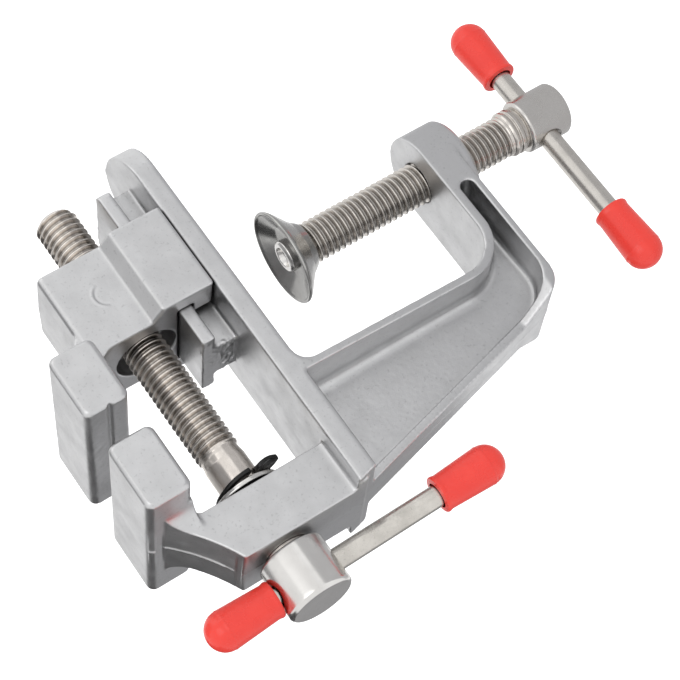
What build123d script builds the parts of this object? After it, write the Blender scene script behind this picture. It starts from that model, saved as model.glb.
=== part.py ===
from build123d import *
from math import cos, radians, sin
import os

# A small die-cast bench vise that clamps on the edge of a table.
# Millimetres. +Z is up and +X runs along the lead screw, away from its handle.
# The origin is where the axis of the clamp screw meets the underside of the plate.

# ---- clearances between pieces that move ----
running_gap = 0.06          # round a turning shaft, on the radius
slide_gap = 0.3             # between the movable jaw and the rail or the plate
swivel_gap = 0.1            # between the clamp screw's tip and its pad
bar_gap = 0.08              # round a handle bar in its cross hole, on the radius

# ---- plate ----
plate_half_width = 11.45
plate_edge_height = 4.0
plate_crown = 0.6           # rise of the top face at the parting line
plate_tail_end = 32.5
plate_handle_end = -47.2    # at the top edges
plate_edge_round = 0.5

# ---- rail that the movable jaw slides on ----
rail_handle_end = -11.0
rail_tail_end = 24.2
rail_neck_half_width = 4.6
rail_flange_half_width = 8.5
rail_flange_underside = 8.7
rail_top = 11.3
rail_foot_round = 0.7
rail_edge_round = 0.4
rail_tail_round = 1.6

# ---- block that carries the lead screw, and the fixed jaw on it ----
block_jaw_face = -36.6
block_half_width = 7.5
block_top = 26.2
block_foot_round = 1.2
jaw_half_width = 18.0
fixed_jaw_thickness = 13.2
movable_jaw_thickness = 12.7
jaw_bottom = 28.9
jaw_top = 37.4
jaw_edge_round = 1.5
jaw_end_chamfer = 0.6
fixed_jaw_grip = -22.45     # flat grip face
neck_meets_jaw = 34.6       # height where a neck runs out on its jaw
neck_hollow = 0.7           # depth of a neck's hollow curve
neck_corner_round = 1.2
neck_side_round = 4.0       # seen from above, where the fixed neck widens into its jaw
neck_root = 2.0             # how far a neck reaches into what it joins

# ---- arm of the table clamp ----
arm_slope = 0.251           # outer contour, X per Z
throat_face = -23.9
throat_floor = -42.4
arm_bottom = -48.5
throat_top_round = 3.0
throat_floor_round = 7.5
arm_corner_round = 5.2
arm_web_half_width = 1.7
inner_flange_thickness = 1.5
floor_flange_thickness = 1.9
bottom_rib_thickness = 1.35
outer_rim_thickness = 1.7
outer_rim_half_width = 4.2
floor_half_width = 9.0
rim_flare_start = -39.5     # height where the outer rim starts to widen
rim_flare_end = -46.0
pocket_corner_round = 6.5
pocket_end = -8.0           # where the pocket of the lower arm stops short of the boss
boss_radius = 9.0
boss_bottom = -50.8
boss_chamfer = 0.8

# ---- movable jaw ----
jaw_gap = 5.95              # between the grip faces in this position
body_handle_face = -3.5
body_length = 18.1
body_half_width = 9.5
body_top = 29.3
body_crown = 0.3
body_edge_round = 1.2
body_end_round = 0.6
ramp_top = 16.7
ramp_bottom = 14.4
skirt_half_width = 12.3
skirt_lip_half_width = 6.0  # inner side of the lips under the rail's flange
neck_foot = 5.5             # from the handle face back to where the neck leaves the top
neck_underside = 24.3       # height where the hollow under the jaw starts
counterbore_radius = 6.0
counterbore_depth = 4.0
groove_height = 32.8
groove_half_width = 0.65
groove_depth = 0.6

# ---- screws ----
screw_radius = 3.97
screw_tip_chamfer = 0.9
lead_axis_height = 17.95
lead_tip = 28.2
lead_thread_end = -26.5     # where the thread runs out on the plain shank
lead_shank_radius = 3.85
lead_head_start = -48.1
lead_head_end = -58.2
lead_bar_station = -53.3
lead_bar_turn = 3.6         # degrees that the bar leans about the lead axis
lead_head_radius = 6.1
head_chamfer = 0.5
spigot_radius = 3.0
spigot_cover = 1.5          # metal of a head beyond the end of the spigot

# ---- clip and washers on the lead screw ----
wave_washer_thickness = 0.8
thrust_washer_thickness = 0.9
washer_radius = 6.4
washer_gap = 0.05
clip_thickness = 0.9
clip_radius = 6.6
clip_ring_width = 1.6
clip_groove_radius = 3.2
clip_prong_width = 2.2
clip_mouth = 1.4
clip_mouth_turn = 209.0     # degrees from +Y, so the mouth opens low on the near side

# ---- handle bars and their caps ----
bar_radius = 2.0
lead_bar_length = 56.3
clamp_bar_length = 57.8
cap_length = 13.4
cap_rim_radius = 3.2
cap_belly_radius = 3.7
cap_end_wall = 1.6
cap_dome_steps = 4          # flats over a quarter turn of the dome
lead_cap_gap = 0.1          # between the head and the upper cap, which rests on it
clamp_cap_gap = 5.6         # between the head and the cap on the tail side

# ---- clamp screw and pad ----
pad_front = -12.4
pad_radius = 9.2
pad_rim_thickness = 0.7
pad_back = -17.7
pad_back_radius = 4.6
pad_floor = -14.8
pad_floor_radius = 4.4
pad_lip = 0.5
swivel_neck_radius = 2.6
swivel_tip_radius = 3.3
swivel_tip_top = -12.6
swivel_tip_chamfer = 0.4
clamp_collar_top = -61.9
clamp_collar_radius = 4.4
clamp_head_start = -65.2
clamp_head_end = -74.5
clamp_head_radius = 5.15
clamp_bar_station = -69.1

# ---- places worked out from the values above ----
plate_top = plate_edge_height + plate_crown
tail_centre = plate_tail_end - plate_half_width
arm_handle_end = plate_handle_end + arm_slope * plate_edge_height
fixed_jaw_back = fixed_jaw_grip - fixed_jaw_thickness
movable_jaw_grip = fixed_jaw_grip + jaw_gap
movable_jaw_back = movable_jaw_grip + movable_jaw_thickness
jaw_middle = (jaw_bottom + jaw_top) / 2
jaw_height = jaw_top - jaw_bottom
neck_foot_station = body_handle_face + neck_foot
neck_under_round = jaw_bottom - neck_underside
slot_half_width = rail_flange_half_width + slide_gap
slot_top = rail_top + slide_gap
lip_top = rail_flange_underside - slide_gap
skirt_bottom = plate_top + slide_gap
skirt_bottom_edge = plate_edge_height + slide_gap
screw_bore_radius = screw_radius + running_gap
shank_bore_radius = lead_shank_radius + running_gap
bar_hole_radius = bar_radius + bar_gap
wave_washer_end = block_jaw_face + wave_washer_thickness
thrust_washer_end = wave_washer_end + thrust_washer_thickness
clip_start = thrust_washer_end + washer_gap
clip_end = clip_start + clip_thickness
lead_spigot_end = lead_head_end + spigot_cover
clamp_spigot_end = clamp_head_end + spigot_cover
lead_plane = Plane.XZ.shift_origin((0, 0, lead_axis_height))
lead_axis = Axis((0, 0, lead_axis_height), (1, 0, 0))
lead_bar_lean = (0, sin(radians(lead_bar_turn)), cos(radians(lead_bar_turn)))
lead_bar_plane = Plane((lead_bar_station, 0, lead_axis_height), x_dir=(1, 0, 0), z_dir=lead_bar_lean)
clamp_bar_plane = Plane.YZ.shift_origin((0, 0, clamp_bar_station))


def arm_outer(height, inset=0.0):
    """X of the arm's outer contour at a height, moved inwards by the inset."""
    return arm_handle_end - arm_slope * height + inset


def round_corners(sketch, corners, radius):
    """Round the corners of a sketch that lie nearest to the given points."""
    for corner in corners:
        fillet(sketch.vertices().sort_by_distance(corner)[0], radius)


def neck_curve(foot, jaw_end):
    """Shallow hollow curve up the back of a jaw's neck."""
    rise = jaw_end[1] - foot[1]
    run = jaw_end[0] - foot[0]
    length = (rise**2 + run**2) ** 0.5
    towards_body = 1 if run > 0 else -1
    middle = (
        (foot[0] + jaw_end[0]) / 2 + towards_body * neck_hollow * rise / length,
        (foot[1] + jaw_end[1]) / 2 - neck_hollow * abs(run) / length,
    )
    return ThreePointArc(foot, middle, jaw_end)


# ---- plate, with its round tail and a crown along the parting line ----
with BuildPart() as plate:
    with BuildSketch(Plane.YZ.offset(plate_handle_end)) as plate_section:
        with BuildLine():
            Polyline(
                (-plate_half_width, 0),
                (plate_half_width, 0),
                (plate_half_width, plate_edge_height),
                (0, plate_top),
                (-plate_half_width, plate_edge_height),
                close=True,
            )
        make_face()
        round_corners(
            plate_section,
            [(side * plate_half_width, height) for side in (-1, 1) for height in (0, plate_edge_height)],
            plate_edge_round,
        )
    extrude(amount=plate_tail_end - plate_handle_end)
    with BuildSketch(Plane.XY):
        with BuildLine():
            Polyline(
                (tail_centre, plate_half_width),
                (plate_handle_end, plate_half_width),
                (plate_handle_end, -plate_half_width),
                (tail_centre, -plate_half_width),
            )
            ThreePointArc(
                (tail_centre, -plate_half_width), (plate_tail_end, 0), (tail_centre, plate_half_width)
            )
        make_face()
    extrude(amount=plate_top, mode=Mode.INTERSECT)
    with BuildSketch(Plane.XZ):
        with BuildLine():
            Polyline(
                (plate_handle_end, 0),
                (arm_handle_end, 0),
                (plate_handle_end, plate_edge_height),
                close=True,
            )
        make_face()
    extrude(amount=plate_half_width, both=True, mode=Mode.SUBTRACT)

# ---- rail: a T that stands on the plate ----
with BuildPart() as rail:
    with BuildSketch(Plane.YZ.offset(rail_handle_end)) as rail_section:
        with Locations((0, (plate_edge_height + rail_flange_underside) / 2)):
            Rectangle(2 * rail_neck_half_width, rail_flange_underside - plate_edge_height)
        with Locations((0, (rail_flange_underside + rail_top) / 2)):
            Rectangle(2 * rail_flange_half_width, rail_top - rail_flange_underside)
        with Locations((0, plate_edge_height / 2)):
            Rectangle(2 * (rail_neck_half_width + 2 * rail_foot_round), plate_edge_height)
        round_corners(
            rail_section,
            [(side * rail_neck_half_width, plate_edge_height) for side in (-1, 1)],
            rail_foot_round,
        )
        round_corners(
            rail_section,
            [
                (side * rail_flange_half_width, height)
                for side in (-1, 1)
                for height in (rail_flange_underside, rail_top)
            ],
            rail_edge_round,
        )
    extrude(amount=rail_tail_end - rail_handle_end)
    with BuildSketch(Plane.XY) as rail_plan:
        with Locations(((rail_handle_end + rail_tail_end) / 2, 0)):
            Rectangle(rail_tail_end - rail_handle_end, 2 * rail_flange_half_width)
        round_corners(
            rail_plan,
            [(rail_tail_end, side * rail_flange_half_width) for side in (-1, 1)],
            rail_tail_round,
        )
    extrude(amount=rail_top, mode=Mode.INTERSECT)

# ---- block and the neck that carries the fixed jaw ----
with BuildPart() as block:
    with BuildSketch(Plane.XZ) as block_side:
        with BuildLine():
            Polyline(
                (plate_handle_end, block_top),
                (plate_handle_end, plate_edge_height / 2),
                (block_jaw_face, plate_edge_height / 2),
                (block_jaw_face, jaw_bottom),
                (fixed_jaw_back + neck_root, jaw_bottom),
                (fixed_jaw_back + neck_root, neck_meets_jaw),
                (fixed_jaw_back, neck_meets_jaw),
            )
            neck_curve((plate_handle_end, block_top), (fixed_jaw_back, neck_meets_jaw))
        make_face()
        round_corners(block_side, [(block_jaw_face, jaw_bottom)], neck_corner_round)
    extrude(amount=jaw_half_width, both=True)
    # seen along X the sides run down into round feet on the plate
    with BuildSketch(Plane.YZ.offset(plate_handle_end)) as block_section:
        with Locations((0, jaw_top / 2)):
            Rectangle(2 * block_half_width, jaw_top)
        with Locations((0, plate_edge_height / 2)):
            Rectangle(2 * (block_half_width + 2 * block_foot_round), plate_edge_height)
        round_corners(
            block_section,
            [(side * block_half_width, plate_edge_height) for side in (-1, 1)],
            block_foot_round,
        )
    extrude(amount=fixed_jaw_back + neck_root - plate_handle_end, mode=Mode.INTERSECT)

# the fixed neck widens in two hollow curves where it meets its jaw
with BuildPart() as neck_fan:
    with BuildSketch(Plane.XZ):
        with BuildLine():
            Polyline(
                (plate_handle_end, block_top),
                (plate_handle_end, jaw_bottom),
                (fixed_jaw_back + neck_root, jaw_bottom),
                (fixed_jaw_back + neck_root, neck_meets_jaw),
                (fixed_jaw_back, neck_meets_jaw),
            )
            neck_curve((plate_handle_end, block_top), (fixed_jaw_back, neck_meets_jaw))
        make_face()
    extrude(amount=jaw_half_width, both=True)
    with BuildSketch(Plane.XY.offset(jaw_bottom)):
        with Locations((fixed_jaw_back - (neck_side_round - neck_root) / 2, 0)):
            Rectangle(neck_side_round + neck_root, 2 * (block_half_width + neck_side_round))
        hollow_station = fixed_jaw_back - neck_side_round
        hollow_offset = block_half_width + neck_side_round
        with Locations((hollow_station, -hollow_offset), (hollow_station, hollow_offset)):
            Circle(neck_side_round, mode=Mode.SUBTRACT)
    extrude(amount=neck_meets_jaw - jaw_bottom, mode=Mode.INTERSECT)


def jaw_block(grip_station, back_station):
    """Cross bar of a jaw, with rounded edges and chamfered ends."""
    with BuildPart() as bar:
        with BuildSketch(Plane.XZ) as bar_section:
            with Locations(((grip_station + back_station) / 2, jaw_middle)):
                Rectangle(abs(grip_station - back_station), jaw_height)
            fillet(bar_section.vertices(), jaw_edge_round)
        extrude(amount=jaw_half_width, both=True)
        chamfer(bar.faces().filter_by(Axis.Y).edges(), jaw_end_chamfer)
    return bar.part


# ---- clamp arm: a web between an inner flange and an outer rim ----
with BuildPart() as arm_web:
    with BuildSketch(Plane.XZ) as web_outline:
        with BuildLine():
            Polyline(
                (arm_outer(plate_edge_height), plate_edge_height),
                (arm_outer(arm_bottom), arm_bottom),
                (0, arm_bottom),
                (0, throat_floor),
                (throat_face, throat_floor),
                (throat_face, plate_edge_height),
                close=True,
            )
        make_face()
        round_corners(web_outline, [(throat_face, throat_floor)], throat_floor_round)
        round_corners(web_outline, [(arm_outer(arm_bottom), arm_bottom)], arm_corner_round)
    extrude(amount=arm_web_half_width, both=True)

with BuildPart() as inner_flange:
    flange_back = throat_face - inner_flange_thickness
    flange_underside = throat_floor - floor_flange_thickness
    with BuildSketch(Plane.XZ) as flange_side:
        with BuildLine():
            Polyline(
                (throat_face + throat_top_round, 0),
                (throat_face, 0),
                (throat_face, throat_floor),
                (0, throat_floor),
                (0, flange_underside),
                (flange_back, flange_underside),
                (flange_back, plate_edge_height / 2),
                (throat_face + throat_top_round, plate_edge_height / 2),
                close=True,
            )
        make_face()
        round_corners(flange_side, [(throat_face, throat_floor)], throat_floor_round)
        round_corners(
            flange_side, [(flange_back, flange_underside)], throat_floor_round + inner_flange_thickness
        )
        with BuildLine():
            Polyline(
                (throat_face + throat_top_round, 0),
                (throat_face, 0),
                (throat_face, -throat_top_round),
            )
            RadiusArc(
                (throat_face, -throat_top_round), (throat_face + throat_top_round, 0), throat_top_round
            )
        make_face()
    extrude(amount=plate_half_width, both=True)
    # seen along X the flange narrows from the plate's width to the floor's width
    with BuildSketch(Plane.YZ):
        with BuildLine():
            Polyline(
                (-plate_half_width, plate_edge_height),
                (-plate_half_width, 0),
                (-floor_half_width, throat_floor),
                (-floor_half_width, arm_bottom),
                (floor_half_width, arm_bottom),
                (floor_half_width, throat_floor),
                (plate_half_width, 0),
                (plate_half_width, plate_edge_height),
                close=True,
            )
        make_face()
    extrude(amount=plate_handle_end, both=True, mode=Mode.INTERSECT)

with BuildPart() as outer_rim:
    rib_top = arm_bottom + bottom_rib_thickness
    rim_inner_corner = (arm_outer(rib_top, outer_rim_thickness), rib_top)
    with BuildSketch(Plane.XZ) as rim_side:
        with BuildLine():
            Polyline(
                (arm_outer(plate_edge_height / 2), plate_edge_height / 2),
                (arm_outer(arm_bottom), arm_bottom),
                (0, arm_bottom),
                (0, rib_top),
                rim_inner_corner,
                (arm_outer(plate_edge_height / 2, outer_rim_thickness), plate_edge_height / 2),
                close=True,
            )
        make_face()
        round_corners(rim_side, [(arm_outer(arm_bottom), arm_bottom)], arm_corner_round)
        round_corners(rim_side, [rim_inner_corner], pocket_corner_round)
    extrude(amount=floor_half_width, both=True)
    # seen along X the rim is narrow beside the column and flares into the bottom rib
    with BuildSketch(Plane.YZ):
        with BuildLine():
            Polyline(
                (-outer_rim_half_width, plate_edge_height),
                (-outer_rim_half_width, rim_flare_start),
                (-floor_half_width, rim_flare_end),
                (-floor_half_width, arm_bottom),
                (floor_half_width, arm_bottom),
                (floor_half_width, rim_flare_end),
                (outer_rim_half_width, rim_flare_start),
                (outer_rim_half_width, plate_edge_height),
                close=True,
            )
        make_face()
    extrude(amount=plate_handle_end, both=True, mode=Mode.INTERSECT)

# between the pocket and the boss the lower arm is solid, and the pocket ends round
with BuildPart() as boss_root:
    pocket_height = flange_underside - rib_top
    with BuildSketch(Plane.XZ):
        with Locations(((pocket_end - pocket_height / 2) / 2, (throat_floor + arm_bottom) / 2)):
            Rectangle(pocket_height / 2 - pocket_end, throat_floor - arm_bottom)
        with Locations((pocket_end - pocket_height / 2, (flange_underside + rib_top) / 2)):
            Circle(pocket_height / 2, mode=Mode.SUBTRACT)
    extrude(amount=floor_half_width, both=True)

with BuildPart() as clamp_boss:
    with BuildSketch(Plane.XY.offset(boss_bottom)):
        Circle(boss_radius)
    extrude(amount=throat_floor - boss_bottom)
    chamfer(clamp_boss.edges().group_by(Axis.Z)[0], boss_chamfer)

# ---- frame: one casting ----
fixed_jaw_block = jaw_block(fixed_jaw_grip, fixed_jaw_back)
with BuildPart() as frame:
    add(plate.part)
    add(rail.part)
    add(block.part)
    add(neck_fan.part)
    add(fixed_jaw_block)
    add(arm_web.part)
    add(inner_flange.part)
    add(outer_rim.part)
    add(boss_root.part)
    add(clamp_boss.part)
    # way for the lead screw's shank through the block
    with BuildSketch(Plane.YZ.offset(plate_handle_end)):
        with Locations((0, lead_axis_height)):
            Circle(shank_bore_radius)
    extrude(amount=block_jaw_face - plate_handle_end, mode=Mode.SUBTRACT)
    # threaded way for the clamp screw through the boss
    with BuildSketch(Plane.XY.offset(boss_bottom)):
        Circle(screw_bore_radius)
    extrude(amount=throat_floor - boss_bottom, mode=Mode.SUBTRACT)

# ---- movable jaw: body round the rail, neck and jaw in one casting ----
with BuildPart() as jaw_body:
    with BuildSketch(Plane.YZ.offset(body_handle_face)) as body_section:
        with BuildLine():
            Polyline(
                (0, skirt_bottom),
                (skirt_half_width, skirt_bottom_edge),
                (skirt_half_width, ramp_bottom),
                (body_half_width, ramp_top),
                (body_half_width, body_top - body_crown),
                (0, body_top),
                (-body_half_width, body_top - body_crown),
                (-body_half_width, ramp_top),
                (-skirt_half_width, ramp_bottom),
                (-skirt_half_width, skirt_bottom_edge),
                close=True,
            )
        make_face()
        round_corners(
            body_section,
            [(side * body_half_width, body_top - body_crown) for side in (-1, 1)],
            body_edge_round,
        )
    extrude(amount=body_length)
    fillet(jaw_body.faces().filter_by(Axis.X).edges(), body_end_round)
    # slot for the rail, open below
    with BuildSketch(Plane.YZ.offset(body_handle_face)):
        with Locations((0, (lip_top + slot_top) / 2)):
            Rectangle(2 * slot_half_width, slot_top - lip_top)
        with Locations((0, lip_top / 2)):
            Rectangle(2 * skirt_lip_half_width, lip_top)
    extrude(amount=body_length, mode=Mode.SUBTRACT)

with BuildPart() as jaw_neck:
    with BuildSketch(Plane.XZ):
        with BuildLine():
            Polyline(
                (neck_foot_station, body_top - body_crown),
                (neck_foot_station, neck_underside),
                (body_handle_face, neck_underside),
            )
            ThreePointArc(
                (body_handle_face, neck_underside),
                (
                    body_handle_face - neck_under_round * (1 - 0.5**0.5),
                    neck_underside + neck_under_round * 0.5**0.5,
                ),
                (body_handle_face - neck_under_round, jaw_bottom),
            )
            Polyline(
                (body_handle_face - neck_under_round, jaw_bottom),
                (body_handle_face - neck_under_round, neck_meets_jaw),
                (movable_jaw_back, neck_meets_jaw),
            )
            neck_curve((neck_foot_station, body_top - body_crown), (movable_jaw_back, neck_meets_jaw))
        make_face()
    extrude(amount=body_half_width - body_end_round, both=True)

movable_jaw_block = jaw_block(movable_jaw_grip, movable_jaw_back)
with BuildPart() as movable_jaw:
    add(jaw_body.part)
    add(jaw_neck.part)
    add(movable_jaw_block)
    # threaded way for the lead screw, with a wide mouth on the handle side
    with BuildSketch(Plane.YZ.offset(body_handle_face)):
        with Locations((0, lead_axis_height)):
            Circle(screw_bore_radius)
    extrude(amount=body_length, mode=Mode.SUBTRACT)
    with BuildSketch(Plane.YZ.offset(body_handle_face)):
        with Locations((0, lead_axis_height)):
            Circle(counterbore_radius)
    extrude(amount=counterbore_depth, mode=Mode.SUBTRACT)
    # groove along the grip face for small round work
    with BuildSketch(Plane.XZ):
        with BuildLine():
            Polyline(
                (movable_jaw_grip - groove_depth, groove_height + 2 * groove_half_width),
                (movable_jaw_grip - groove_depth, groove_height - 2 * groove_half_width),
                (movable_jaw_grip + groove_depth, groove_height),
                close=True,
            )
        make_face()
    extrude(amount=jaw_half_width, both=True, mode=Mode.SUBTRACT)

# ---- lead screw, turned from bar, with a spigot for its head ----
with BuildPart() as lead_screw:
    with BuildSketch(lead_plane):
        with BuildLine():
            Polyline(
                (lead_spigot_end, 0),
                (lead_spigot_end, spigot_radius),
                (lead_head_start, spigot_radius),
                (lead_head_start, lead_shank_radius),
                (clip_start, lead_shank_radius),
                (clip_start, clip_groove_radius),
                (clip_end, clip_groove_radius),
                (clip_end, lead_shank_radius),
                (lead_thread_end, lead_shank_radius),
                (lead_thread_end, screw_radius),
                (lead_tip - screw_tip_chamfer, screw_radius),
                (lead_tip, screw_radius - screw_tip_chamfer),
                (lead_tip, 0),
                close=True,
            )
        make_face()
    revolve(axis=lead_axis)
    with BuildSketch(lead_bar_plane):
        Circle(bar_hole_radius)
    extrude(amount=lead_head_radius, both=True, mode=Mode.SUBTRACT)

with BuildPart() as lead_screw_head:
    with BuildSketch(lead_plane):
        with BuildLine():
            Polyline(
                (lead_head_start, spigot_radius),
                (lead_head_start, lead_head_radius - head_chamfer),
                (lead_head_start - head_chamfer, lead_head_radius),
                (lead_head_end + head_chamfer, lead_head_radius),
                (lead_head_end, lead_head_radius - head_chamfer),
                (lead_head_end, 0),
                (lead_spigot_end, 0),
                (lead_spigot_end, spigot_radius),
                close=True,
            )
        make_face()
    revolve(axis=lead_axis)
    with BuildSketch(lead_bar_plane):
        Circle(bar_hole_radius)
    extrude(amount=lead_head_radius, both=True, mode=Mode.SUBTRACT)

# ---- washers against the block, and the clip that holds the screw ----
with BuildPart() as wave_washer:
    with BuildSketch(Plane.YZ.offset(block_jaw_face)):
        with Locations((0, lead_axis_height)):
            Circle(washer_radius)
            Circle(shank_bore_radius, mode=Mode.SUBTRACT)
    extrude(amount=wave_washer_thickness)

with BuildPart() as thrust_washer:
    with BuildSketch(Plane.YZ.offset(wave_washer_end)):
        with Locations((0, lead_axis_height)):
            Circle(washer_radius)
            Circle(shank_bore_radius, mode=Mode.SUBTRACT)
    extrude(amount=thrust_washer_thickness)

with BuildPart() as e_clip:
    with BuildSketch(Plane.YZ.offset(clip_start).shift_origin((clip_start, 0, lead_axis_height))):
        Circle(clip_radius)
        Circle(clip_radius - clip_ring_width, mode=Mode.SUBTRACT)
        with PolarLocations(
            (clip_groove_radius + clip_radius) / 2, 3, start_angle=clip_mouth_turn + 90, angular_range=180
        ):
            Rectangle(clip_radius - clip_groove_radius - clip_ring_width / 2, clip_prong_width)
        with PolarLocations(clip_radius, 1, start_angle=clip_mouth_turn):
            Rectangle(clip_radius, clip_mouth, mode=Mode.SUBTRACT)
        Circle(clip_groove_radius, mode=Mode.SUBTRACT)
    extrude(amount=clip_thickness)

# ---- clamp screw, with a swivel tip on top and a spigot for its head ----
with BuildPart() as clamp_screw:
    with BuildSketch(Plane.XZ):
        with BuildLine():
            Polyline(
                (0, swivel_tip_top),
                (swivel_tip_radius - swivel_tip_chamfer, swivel_tip_top),
                (swivel_tip_radius, swivel_tip_top - swivel_tip_chamfer),
                (swivel_tip_radius, pad_floor + swivel_gap),
                (swivel_neck_radius, pad_floor + swivel_gap),
                (swivel_neck_radius, pad_back - swivel_gap),
                (screw_radius - screw_tip_chamfer, pad_back - swivel_gap),
                (screw_radius, pad_back - swivel_gap - screw_tip_chamfer),
                (screw_radius, clamp_collar_top),
                (clamp_collar_radius, clamp_collar_top),
                (clamp_collar_radius, clamp_head_start),
                (spigot_radius, clamp_head_start),
                (spigot_radius, clamp_spigot_end),
                (0, clamp_spigot_end),
                close=True,
            )
        make_face()
    revolve(axis=Axis.Z)
    with BuildSketch(clamp_bar_plane):
        Circle(bar_hole_radius)
    extrude(amount=clamp_head_radius, both=True, mode=Mode.SUBTRACT)

with BuildPart() as clamp_screw_head:
    with BuildSketch(Plane.XZ):
        with BuildLine():
            Polyline(
                (spigot_radius, clamp_head_start),
                (clamp_head_radius - head_chamfer, clamp_head_start),
                (clamp_head_radius, clamp_head_start - head_chamfer),
                (clamp_head_radius, clamp_head_end + head_chamfer),
                (clamp_head_radius - head_chamfer, clamp_head_end),
                (0, clamp_head_end),
                (0, clamp_spigot_end),
                (spigot_radius, clamp_spigot_end),
                close=True,
            )
        make_face()
    revolve(axis=Axis.Z)
    with BuildSketch(clamp_bar_plane):
        Circle(bar_hole_radius)
    extrude(amount=clamp_head_radius, both=True, mode=Mode.SUBTRACT)

# ---- dished pad that swivels on the clamp screw's tip ----
with BuildPart() as clamp_pad:
    pad_rim_low = pad_front - pad_rim_thickness
    with BuildSketch(Plane.XZ):
        with BuildLine():
            Polyline(
                (swivel_neck_radius + swivel_gap, pad_back),
                (pad_back_radius, pad_back),
                (pad_radius, pad_rim_low),
                (pad_radius, pad_front),
                (pad_radius - pad_lip, pad_front),
                (pad_floor_radius, pad_floor),
                (swivel_neck_radius + swivel_gap, pad_floor),
                close=True,
            )
        make_face()
    revolve(axis=Axis.Z)


def handle_bar(axis_plane, first_end, length):
    """Plain bar, drawn from its first end down the plane's normal."""
    with BuildPart() as bar:
        with BuildSketch(axis_plane.offset(first_end)):
            Circle(bar_radius)
        extrude(amount=-length)
    return bar.part


def handle_cap(mouth_plane):
    """Moulded cap: mouth at the plane, belly and dome beyond it along the normal."""
    centre_line = Axis(mouth_plane.origin, mouth_plane.z_dir)
    section_plane = Plane(mouth_plane.origin, x_dir=mouth_plane.z_dir, z_dir=mouth_plane.x_dir)
    dome_start = cap_length - cap_belly_radius
    turns = [radians(90 * step / cap_dome_steps) for step in range(cap_dome_steps + 1)]
    with BuildPart() as cap:
        with BuildSketch(section_plane):
            with BuildLine():
                Polyline(
                    (0, cap_rim_radius),
                    (0, bar_radius),
                    (cap_length - cap_end_wall, bar_radius),
                    (cap_length - cap_end_wall, 0),
                    *[(dome_start + cap_belly_radius * cos(turn), cap_belly_radius * sin(turn)) for turn in turns],
                    close=True,
                )
            make_face()
        revolve(axis=centre_line)
    return cap.part


# ---- handle bars with a cap on each end; their ends are counted from the head's axis ----
cap_reach = cap_length - cap_end_wall
lead_bar_top = lead_head_radius + lead_cap_gap + cap_reach
lead_bar_bottom = lead_bar_top - lead_bar_length
clamp_bar_tail_end = clamp_head_radius + clamp_cap_gap + cap_reach
clamp_bar_handle_end = clamp_bar_tail_end - clamp_bar_length

lead_handle_bar = handle_bar(lead_bar_plane, lead_bar_top, lead_bar_length)
lead_cap_upper = handle_cap(lead_bar_plane.offset(lead_bar_top - cap_reach))
lead_cap_lower = handle_cap(-lead_bar_plane.offset(lead_bar_bottom + cap_reach))
clamp_handle_bar = handle_bar(clamp_bar_plane, clamp_bar_tail_end, clamp_bar_length)
clamp_cap_tail = handle_cap(clamp_bar_plane.offset(clamp_bar_tail_end - cap_reach))
clamp_cap_handle = handle_cap(-clamp_bar_plane.offset(clamp_bar_handle_end + cap_reach))

# ---- one file for each piece ----
pieces = {
    "frame": frame.part,
    "movable_jaw": movable_jaw.part,
    "lead_screw": lead_screw.part,
    "lead_screw_head": lead_screw_head.part,
    "wave_washer": wave_washer.part,
    "thrust_washer": thrust_washer.part,
    "e_clip": e_clip.part,
    "lead_handle_bar": lead_handle_bar,
    "lead_cap_upper": lead_cap_upper,
    "lead_cap_lower": lead_cap_lower,
    "clamp_screw": clamp_screw.part,
    "clamp_screw_head": clamp_screw_head.part,
    "clamp_pad": clamp_pad.part,
    "clamp_handle_bar": clamp_handle_bar,
    "clamp_cap_tail": clamp_cap_tail,
    "clamp_cap_handle": clamp_cap_handle,
}
os.makedirs("parts", exist_ok=True)
for piece_name, piece in pieces.items():
    piece.label = piece_name
    export_step(piece, f"parts/{piece_name}.step")
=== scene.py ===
import math

import bmesh
import bpy
from mathutils import Matrix, Vector, noise


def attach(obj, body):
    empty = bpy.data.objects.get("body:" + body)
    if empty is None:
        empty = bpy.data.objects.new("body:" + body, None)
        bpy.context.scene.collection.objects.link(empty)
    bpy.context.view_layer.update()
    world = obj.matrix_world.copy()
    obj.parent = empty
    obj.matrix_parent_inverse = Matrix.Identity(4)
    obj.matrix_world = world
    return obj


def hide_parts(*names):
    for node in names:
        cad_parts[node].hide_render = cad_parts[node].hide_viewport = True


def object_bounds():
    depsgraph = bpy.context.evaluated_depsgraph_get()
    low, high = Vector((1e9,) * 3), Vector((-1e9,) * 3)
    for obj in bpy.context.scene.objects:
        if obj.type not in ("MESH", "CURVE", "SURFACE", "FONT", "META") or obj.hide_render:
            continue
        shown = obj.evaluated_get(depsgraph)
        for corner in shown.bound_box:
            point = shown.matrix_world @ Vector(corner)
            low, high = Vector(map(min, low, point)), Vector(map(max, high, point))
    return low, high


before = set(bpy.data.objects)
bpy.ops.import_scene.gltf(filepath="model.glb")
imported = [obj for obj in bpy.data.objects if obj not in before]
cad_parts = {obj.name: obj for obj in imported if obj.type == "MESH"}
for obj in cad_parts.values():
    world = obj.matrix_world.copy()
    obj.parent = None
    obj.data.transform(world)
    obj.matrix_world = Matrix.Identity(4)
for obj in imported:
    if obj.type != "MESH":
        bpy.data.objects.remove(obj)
cad_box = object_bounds()

MM = 0.001
TINY = 1e-6

# ---- sizes shared with the solids, in millimetres ----
# both screws
PITCH = 1.25
SCREW_R = 3.97
ROOT_R = 3.26
# lead screw, along X
LEAD_Z = 17.95
LEAD_TIP = 28.2
LEAD_THREAD_END = -26.5
LEAD_SHANK_R = 3.85
LEAD_HEAD = (-48.1, -58.2)
LEAD_HEAD_R = 6.1
LEAD_BAR_X = -53.3
LEAN = math.radians(3.6)
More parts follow.
